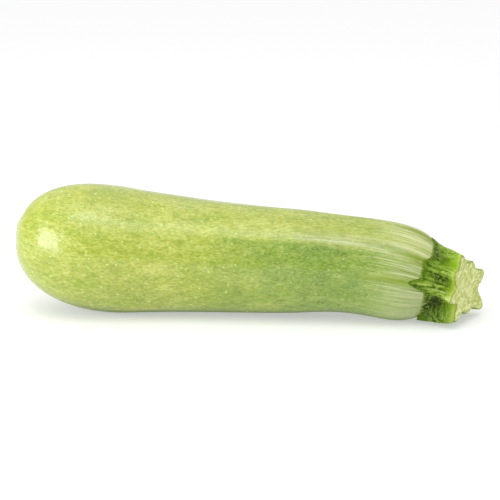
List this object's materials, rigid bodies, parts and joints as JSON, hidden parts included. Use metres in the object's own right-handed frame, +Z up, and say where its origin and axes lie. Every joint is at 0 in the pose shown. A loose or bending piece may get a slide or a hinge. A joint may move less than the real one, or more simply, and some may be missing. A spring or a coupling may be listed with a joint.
{
  "type": "zucchini",
  "caption": "Whole pale green zucchini, club-shaped with a blunt blossom end, a narrower neck and a ribbed cut stem, lying on its side.",
  "frame": {"origin": "middle of the bounding box, on the surface that the zucchini lies on", "axes": "+Z up from the surface, +X along the fruit towards the cut stem, -Y the side that faces the picture's camera"},
  "size_m": [0.2018, 0.0556, 0.0552],
  "materials": {
    "skin": "waxy pale green skin with fine lengthwise mottling and light dots, paler at the shoulder",
    "stem": "dark green ribs with fine hairs and a pale, pithy cut face"
  },
  "bodies": {
    "root": {"fruit": "skin", "stem": "stem"}
  },
  "joints": []
}
